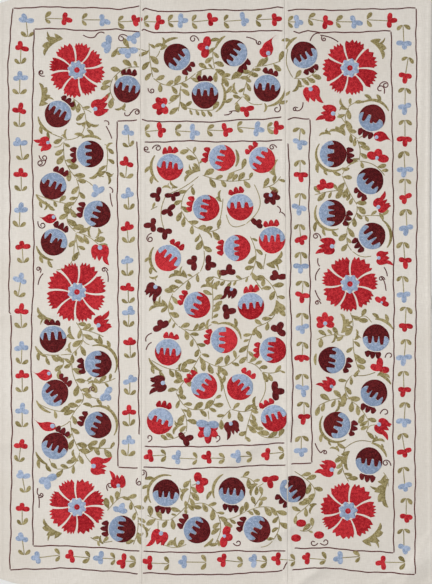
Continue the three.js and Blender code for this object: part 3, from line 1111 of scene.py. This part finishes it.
# Crescents: the middle and the radius of the round that they follow, and where they start and end on it
CRESCENTS = (
    # main border
    (58, 114, 20, 185, 255), (177, 57, 19, 85, 150), (205, 95, 20, 300, 398), (234, 53, 19, 115, 168),
    (304, 55, 19, 110, 165), (372, 118, 18, 20, 125), (333, 154, 17, 140, 310), (332, 213, 17, 150, 295),
    (372, 236, 19, 320, 420), (53, 186, 19, 205, 262), (54, 242, 18, 190, 270), (98, 364, 19, 330, 470),
    (98, 425, 19, 325, 475), (53, 339, 19, 200, 255), (55, 393, 20, 200, 260), (376, 338, 19, 25, 95),
    (332, 360, 17, 155, 200), (374, 393, 19, 25, 80), (337, 425, 17, 145, 305), (369, 461, 18, 10, 85),
    (166, 493, 18, 70, 215), (232, 491, 19, 115, 205), (197, 530, 18, 290, 335), (55, 446, 20, 195, 250),
    (267, 88, 18, 270, 360), (122, 529, 17, 325, 350), (90, 154, 18, 50, 120),
    # middle field
    (170, 167, 19, 140, 235), (222, 158, 16, 325, 395), (168, 258, 18, 140, 235), (224, 340, 17, 0, 115),
    (168, 352, 20, 195, 255), (204, 386, 18, 340, 410),
)

# Broad leaves: the foot, the way that it points, its length, and 1 where its lobes are to the left of that
# way or -1 to the right
BROAD_LEAVES = (
    # by the rosettes
    (63, 39, 222, 27, -1), (39, 106, 90, 25, -1), (370, 41, 305, 24, 1), (52, 319, 140, 20, 1),
    (62, 533, 142, 25, 1), (362, 541, 45, 28, -1), (389, 479, 268, 31, -1),
    # main border
    (100, 167, 225, 17, 1), (105, 172, 285, 14, 1), (91, 226, 270, 12, -1), (98, 228, 255, 11, 1),
    (75, 339, 110, 15, 1), (72, 353, 95, 12, 1), (79, 461, 115, 14, 1), (88, 444, 345, 14, -1),
    (86, 121, 190, 11, 1), (86, 120, 340, 15, -1), (67, 139, 90, 11, 1), (238, 94, 105, 13, 1),
    (264, 103, 268, 10, 1), (298, 79, 245, 15, 1), (348, 109, 125, 14, 1), (345, 136, 165, 18, -1),
    (331, 135, 185, 13, -1), (338, 400, 255, 13, 1), (341, 333, 92, 21, -1), (354, 340, 80, 12, -1),
    (334, 333, 255, 11, 1), (189, 489, 240, 15, -1), (258, 484, 240, 15, -1), (178, 547, 100, 11, 1),
    (104, 544, 110, 10, 1), (350, 451, 265, 21, -1), (317, 504, 235, 13, -1), (107, 150, 50, 10, 1),
    (125, 103, 210, 13, 1), (377, 376, 350, 14, 1), (372, 443, 5, 14, 1),
    (45, 201, 265, 10, 1), (160, 50, 80, 14, -1),
    (339, 452, 160, 11, -1), (100, 384, 180, 13, -1), (143, 527, 285, 12, 1),
    # middle field
    (200, 171, 215, 20, -1), (187, 278, 180, 20, -1), (168, 307, 192, 21, -1), (266, 264, 40, 22, -1),
    (276, 176, 84, 18, 1), (276, 300, 245, 19, 1), (184, 424, 225, 16, -1), (258, 410, 100, 15, 1),
    (203, 231, 320, 12, 1), (158, 275, 190, 10, 1), (217, 290, 172, 18, -1), (222, 202, 95, 13, 1),
    (181, 372, 85, 10, 1), (209, 330, 85, 12, 1), (178, 187, 140, 11, 1), (171, 189, 175, 10, -1),
)

# The places that flowers and fruits take: x, y and radius
flower_tables = [table for kind in (TULIPS, BUDS, BLOSSOMS, TREFOILS) for table in kind.values()]
fruit_rows = BORDER_FRUIT + FIELD_FRUIT
taken = np.array(
    [(x, y, radius) for x, y, radius, *_ in ROSETTES]
    + [(x, y, BORDER_FRUIT_RADIUS) for x, y, *_ in fruit_rows]
    + [(*ahead(x, y, crown, CROWN_AHEAD), CROWN_ROOM) for x, y, crown, _ in fruit_rows]
    + [(x, y, FLOWER_ROOM * size) for table in flower_tables for x, y, _, size, *_ in table]
    + [(x, y, BERRY_ROOM) for x, y in BERRIES]
)


def within(x, y, box):
    """True for a point inside a box."""
    left, top, right, bottom = box
    return left < x < right and top < y < bottom


def has_room(x, y):
    """True where a leaf is clear of all flowers and fruits, and in the main border or the middle field."""
    clear = (np.hypot(x - taken[:, 0], y - taken[:, 1]) > taken[:, 2] + LEAF_CLEAR).all()
    in_border = within(x, y, BORDER_BOX) and not within(x, y, GUARD_BOX)
    return clear and (in_border or within(x, y, FIELD_BOX))


leaf_middles = []


def leaf(x, y, angle, length, width, bend, roundness, widest):
    """One leaf, of the largest size that is clear of the rest at its middle and its tip, or none."""
    for size in LEAF_SIZES:
        reach = size * length
        middle = ahead(x, y, angle, 0.6 * reach)
        apart = np.hypot(*(np.array(leaf_middles) - middle).T).min() > LEAVES_APART
        if apart and has_room(*middle) and has_room(*ahead(x, y, angle, reach)):
            leaf_middles.append(middle)
            return [blade(x, y, angle, reach, size * width, bend, roundness, widest, VINE_RAISED)]
    return []


def broad_leaf(x, y, angle, length, side):
    """A bent leaf with a plain and a lobed edge, and a thin blade that curls away from its lobed side.

    Both edges swell as a sine of the way along. The edge on the given side has lobes that lean to the tip:
    its distance grows along each lobe, fast and then slowly, and falls back at the lobe's end.
    """
    lobes = round(length / LOBE_LENGTH)
    share = np.linspace(0, 1, 12 * lobes + 1)
    line = walked(x, y, np.radians(angle - side * 80 * (share - 0.5)), length)
    swell = np.sin(np.pi * share**0.75) ** 0.8
    lobed = length * swell * (LOBED_EDGE + LOBE_RISE * (lobes * share % 1) ** 0.7)
    plain = length * swell * PLAIN_EDGE
    outwards = -side * square_to(line)
    edges = line - plain[:, None] * outwards, line + lobed[:, None] * outwards
    lobed_leaf = stitched(*edges, raised=VINE_RAISED)
    curl_foot = line[len(line) // 3]
    curl_shape = {"width": 0.12 * length, "bend": side * 70, "widest": 0.4, "raised": VINE_RAISED}
    curl = blade(*curl_foot, angle + side * 95, 0.5 * length, **curl_shape)
    leaf_middles.extend(line[6::8])
    return [lobed_leaf, curl]


def crescent(x, y, radius, start, end):
    """A sickle leaf: a band on an arc, swelling to its middle as a sine, with blades on its outer side."""
    length = radius * np.radians(end - start)
    turn = np.radians(np.linspace(start, end, max(9, int(length / 1.5))))
    line = np.array((x, y)) + radius * directions(turn)
    half_width = CRESCENT_TIP + CRESCENT_SWELL * np.sin(np.linspace(0, np.pi, len(line)))
    fields = [stitched(*band(line, half_width), raised=VINE_RAISED)]
    for place in np.arange(0.4, 0.95, CRESCENT_BLADE_EVERY / length):
        angle = start + place * (end - start)
        foot = ahead(x, y, angle, radius)
        way, reach = angle + chance.uniform(40, 65), chance.uniform(9, 12)
        fields += leaf(*foot, way, reach, width=4.4, bend=45, roundness=0.85, widest=0.5)
    leaf_middles.extend(line[::3])
    return fields


def stem_line(x, y, end_x, end_y, bow, sway=0):
    """A straight line, moved to its left by half a sine of height bow and a whole sine of height sway."""
    start, span = np.array((x, y)), np.array((end_x - x, end_y - y))
    length = np.hypot(*span)
    share = np.linspace(0, 1, max(6, int((length + 2 * abs(bow)) / 1.5)))[:, None]
    to_left = np.array((span[1], -span[0])) / length
    sideways = bow * np.sin(np.pi * share) + sway * np.sin(2 * np.pi * share)
    return start + share * span + sideways * to_left


def bare_stem(*row):
    """A single row of chain stitch along its line."""
    return [stitched(*band(stem_line(*row), STEM_WIDTH / 2), raised=VINE_RAISED)]


def vine(*row):
    """A stem with leaves at a slant to it, on one side and the other in turn or where there is room."""
    line = stem_line(*row)
    along = way_along(line)
    headings = np.degrees(np.unwrap(np.arctan2(*square_to(line).T)))
    places = np.arange(2.5, along[-1], LEAF_EVERY) + chance.normal(0, 0.5)
    fields = bare_stem(*row)
    for side, place in zip(np.resize((1, -1), len(places)), places):
        foot = [np.interp(place, along, line[:, axis]) for axis in range(2)]
        heading = np.interp(place, along, headings)
        slant = side * chance.uniform(36, 64)
        size = chance.uniform(9, 12.5)
        width, bend = size * chance.uniform(0.44, 0.56), chance.normal(0, 25)
        shape = {"length": size, "width": width, "bend": bend, "roundness": 0.75, "widest": 0.58}
        fields += leaf(*foot, heading + slant, **shape) or leaf(*foot, heading - slant, **shape)
    return fields


greenery = []
kinds = ((broad_leaf, BROAD_LEAVES), (crescent, CRESCENTS), (vine, VINES), (bare_stem, BARE_STEMS))
for make, table in kinds:
    for row in table:
        greenery += make(*row)
sew("vines", olive, greenery)


# Tendrils: thin brown curls in the small bare places of the main border and the middle field.
# Each is one row of fine chain stitch that runs out straight and then coils up.
TENDRIL_WIDTH = 1.25

# x and y of the straight end, the way that it sets out, its length, and how far it turns by its end
TENDRILS = (
    # main border, top
    (45, 76, 190, 21, -540), (83, 35, 330, 13, 60), (95, 37, 60, 12, -110), (128, 37, 140, 24, 430),
    (131, 113, 60, 24, -520), (131, 112, 250, 11, -200), (148, 88, 275, 17, 420), (104, 121, 10, 8, -150),
    (106, 126, 300, 14, -15), (199, 41, 110, 22, 400), (246, 37, 350, 12, -30), (256, 41, 280, 13, 420),
    (310, 41, 70, 14, -90), (322, 36, 250, 13, 400), (320, 35, 350, 20, -30), (384, 94, 75, 20, 330),
    (379, 86, 60, 24, -460), (279, 104, 300, 18, -330), (224, 115, 0, 9, 60), (229, 112, 20, 10, -60),
    (303, 102, 270, 14, -120), (298, 108, 150, 12, 400),
    # main border, left
    (39, 155, 280, 22, 450), (46, 160, 260, 24, -470), (109, 187, 340, 8, -120), (110, 193, 275, 14, 15),
    (38, 221, 265, 22, 420), (38, 285, 80, 13, -40), (40, 273, 60, 16, 450), (108, 282, 85, 12, 40),
    (108, 271, 110, 16, 460), (89, 393, 100, 20, -480), (38, 488, 250, 9, 90), (39, 508, 85, 12, 20),
    (38, 497, 340, 14, 430),
    # main border, bottom
    (108, 491, 120, 20, -430), (138, 478, 230, 18, 430), (145, 479, 60, 24, 440), (233, 543, 310, 16, 330),
    (318, 543, 230, 14, -300), (320, 543, 320, 17, 320), (391, 466, 100, 22, 430),
    # main border, right
    (321, 239, 100, 22, 460), (318, 258, 260, 9, 60), (320, 268, 230, 14, 60), (384, 267, 300, 10, -30),
    (386, 291, 95, 14, 30), (385, 280, 110, 15, 430), (315, 290, 290, 12, 20), (321, 304, 110, 15, 450),
    (385, 358, 80, 14, -260), (380, 414, 70, 16, -280), (315, 443, 290, 12, 30), (321, 453, 60, 14, -420),
    # middle field
    (152, 233, 200, 24, 470), (150, 152, 190, 18, -450), (152, 149, 60, 22, -450), (277, 148, 120, 18, 420),
    (277, 206, 330, 9, -120), (281, 212, 330, 8, -60), (152, 333, 200, 12, 100), (146, 350, 75, 10, -60),
    (216, 442, 20, 14, 300), (148, 442, 20, 14, 300),
)


def tendril(x, y, angle, length, turn):
    """A thin row that turns by a power of the way along it: nearly straight, then a tightening curl."""
    headings = np.radians(angle + turn * np.linspace(0, 1, 30) ** 1.8)
    return stitched(*band(walked(x, y, headings, length), TENDRIL_WIDTH / 2))


sew("tendrils", brown, [tendril(*row) for row in TENDRILS])


# Seams: the finished panels lie edge to edge and are joined by short slanting stitches of cream cotton.
# Each stitch goes down through both turned edges, so it arches over the gap between them.
STITCH_EVERY = 6 * MM
STITCH_REACH = 6 * MM  # across the seam
STITCH_SLANT = 3 * MM
STITCH_WIDTH = 1.0 * MM
STITCH_RISE = 0.5 * MM
STITCH_SUNK = 0.3  # of that rise, where the ends go down into the cloth
STITCH_ROUND = 0.4 * MM  # its two sides are lower by this much
STITCH_UNEVEN = 0.6 * MM


def seam_stitches(name, seam, left_panel, right_panel):
    """All stitches of one seam, each a grid of the share across the seam and the way from side to side.

    A stitch stands on the turned edges and rises as half a wave across the seam, less by a square of the
    way to its two sides.
    """
    heights = np.arange(-HALF_LENGTH + HEM_WIDTH, HALF_LENGTH - HEM_WIDTH, STITCH_EVERY)
    heights = heights + chance.normal(0, STITCH_UNEVEN, len(heights))
    share, side = np.meshgrid(np.linspace(-0.5, 0.5, 7), np.linspace(-1, 1, 5), indexing="ij")
    y = heights[:, None, None] + share * STITCH_SLANT + side * STITCH_WIDTH / 2
    x = seam_at(seam, y) + share * STITCH_REACH
    clear = 2 * EDGE_ROUND
    on_left = face(left_panel, np.minimum(x, seam_at(seam, y) - clear), y)
    on_right = face(right_panel, np.maximum(x, seam_at(seam, y) + clear), y)
    arch = STITCH_RISE * (np.cos(np.pi * share) - STITCH_SUNK) - STITCH_ROUND * side**2
    points = np.stack((x, y, np.where(share < 0, on_left, on_right) + arch), axis=-1)
    quads = grid_quads(*share.shape) + share.size * np.arange(len(heights))[:, None, None]
    stitches = mesh_object(name, points.reshape(-1, 3), quads.reshape(-1, 4), cream_cotton)
    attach(stitches, "root")
    stitching_on[left_panel].append(stitches)


seam_stitches("seam_stitches_left", LEFT_SEAM, "left", "middle")
seam_stitches("seam_stitches_right", RIGHT_SEAM, "middle", "right")


# The floor, the lights and the camera: a plain pale floor, two broad soft lamps over the sides, a low sun
# that brings out the creases, a dim sky, and the camera straight above the cloth, framing the chart.
FLOOR_SIZE = 14
FLOOR_DROP = 0.3 * MM  # under the cloth
LAMP_WIDTH = 1.4
LAMP_LENGTH = 3.0
CAMERA_HEIGHT = 4.0


def floor():
    """A square plane just under the cloth, one quad across its two directions."""
    corner = np.array((-1, 1)) * FLOOR_SIZE / 2
    x, y = np.meshgrid(corner, corner)
    points = np.stack((x, y, np.full_like(x, -FLOOR_DROP)), axis=-1).reshape(-1, 3)
    material, tree, shader = new_material("pale floor")
    place = node(tree, "ShaderNodeTexCoord")
    mottle = node(tree, "ShaderNodeTexNoise", {"Vector": place.outputs["Object"], "Scale": 2.0})
    tint = blend(tree, mottle.outputs["Fac"], (0.76, 0.76, 0.75, 1), (0.80, 0.80, 0.79, 1))
    tree.links.new(tint, shader.inputs["Base Color"])
    shader.inputs["Roughness"].default_value = 0.9
    return mesh_object("floor", points, grid_quads(2, 2)[:, ::-1], material)


floor()


def placed(light_or_camera, place=(0, 0, 0), turn=(0, 0, 0)):
    """An object of the same name for a light or a camera, at its place and turned."""
    made = bpy.data.objects.new(light_or_camera.name, light_or_camera)
    made.location = place
    made.rotation_euler = turn
    bpy.context.collection.objects.link(made)
    return made


def soft_lamp(name, place, tilt, power):
    """A broad lamp over one side of the cloth, tilted towards its middle."""
    lamp = bpy.data.lights.new(name, "AREA")
    lamp.shape = "RECTANGLE"
    lamp.size = LAMP_WIDTH
    lamp.size_y = LAMP_LENGTH
    lamp.energy = power
    placed(lamp, place, (0, tilt, 0))


soft_lamp("left lamp", (-1.5, -0.1, 2.8), -0.45, 46)
soft_lamp("right lamp", (1.5, 0, 2.8), 0.45, 26)

sun = bpy.data.lights.new("low sun", "SUN")
sun.energy = 1.4
sun.angle = 0.3
placed(sun, turn=(0, -1.05, -0.4))

sky = bpy.data.worlds.new("dim sky")
sky.use_nodes = True
background = sky.node_tree.nodes["Background"]
background.inputs["Color"].default_value = (1.0, 0.99, 0.97, 1)
background.inputs["Strength"].default_value = 0.26
bpy.context.scene.world = sky
bpy.context.scene.view_settings.view_transform = "Standard"

camera = bpy.data.cameras.new("camera")
camera.lens = camera.sensor_width * CAMERA_HEIGHT / (CHART_SIZE[1] * SQUARE)
bpy.context.scene.camera = placed(camera, (0, 0, CAMERA_HEIGHT + THICKNESS))

# Each panel is a sheet laid flat, and the stitching that was worked on it goes with it
for panel, sheet in panels.items():
    width = panel_width(panel)
